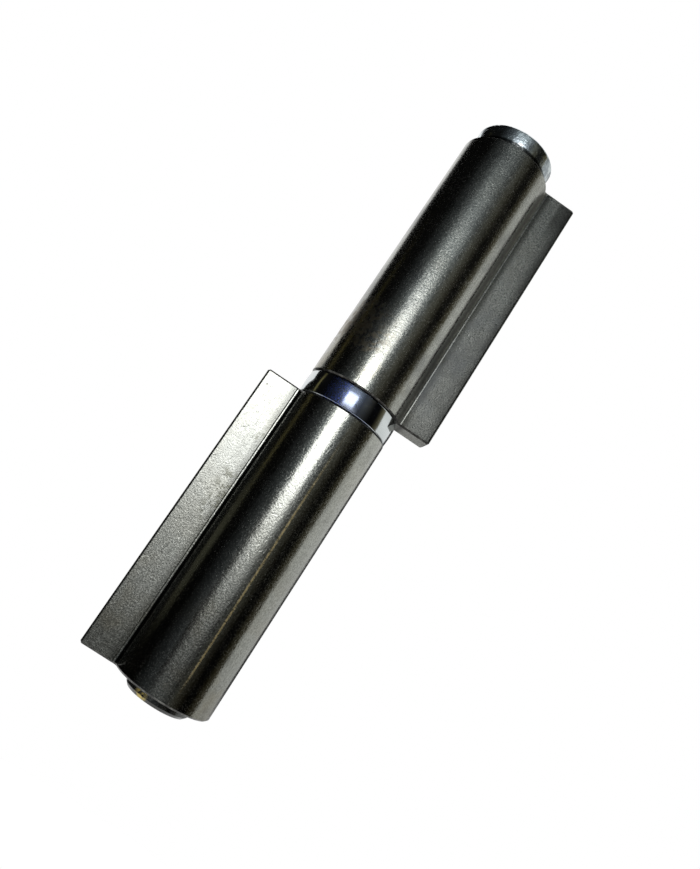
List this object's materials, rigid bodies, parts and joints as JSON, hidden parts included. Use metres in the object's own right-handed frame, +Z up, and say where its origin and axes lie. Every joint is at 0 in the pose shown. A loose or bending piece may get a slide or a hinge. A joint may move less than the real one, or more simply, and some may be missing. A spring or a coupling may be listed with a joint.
{
  "type": "weld-on hinge",
  "caption": "Weld-on hinge: drawn steel leaves, each a round barrel with a flat weld wing, turning on a headed pin with a polished thrust ring between.",
  "frame": {"origin": "centre of the pin's foot, on the pin axis", "axes": "+Z up along the pin axis to the head, as the hinge hangs; +X towards the upper leaf's weld edge with the hinge open flat; +Y along the wings' thickness"},
  "size_m": [0.034, 0.02, 0.1316],
  "materials": {
    "drawn_steel": "bare cold-drawn steel, semi-gloss, lightly oiled, with fine mottling and handling marks",
    "polished_ring": "mirror polished",
    "zinc_plate": "bright zinc plate, slightly bumpy, with a trace of yellow passivation at the foot"
  },
  "bodies": {
    "lower_half": {"lower_leaf": "drawn_steel", "thrust_ring": "polished_ring", "hinge_pin": "zinc_plate"},
    "upper_half": {"upper_leaf": "drawn_steel"}
  },
  "joints": [
    {"name": "leaf_swing", "type": "hinge", "parent": "lower_half", "child": "upper_half", "pos_m": [0, 0, 0.067], "axis": [0, 0, 1], "continuous": true}
  ]
}
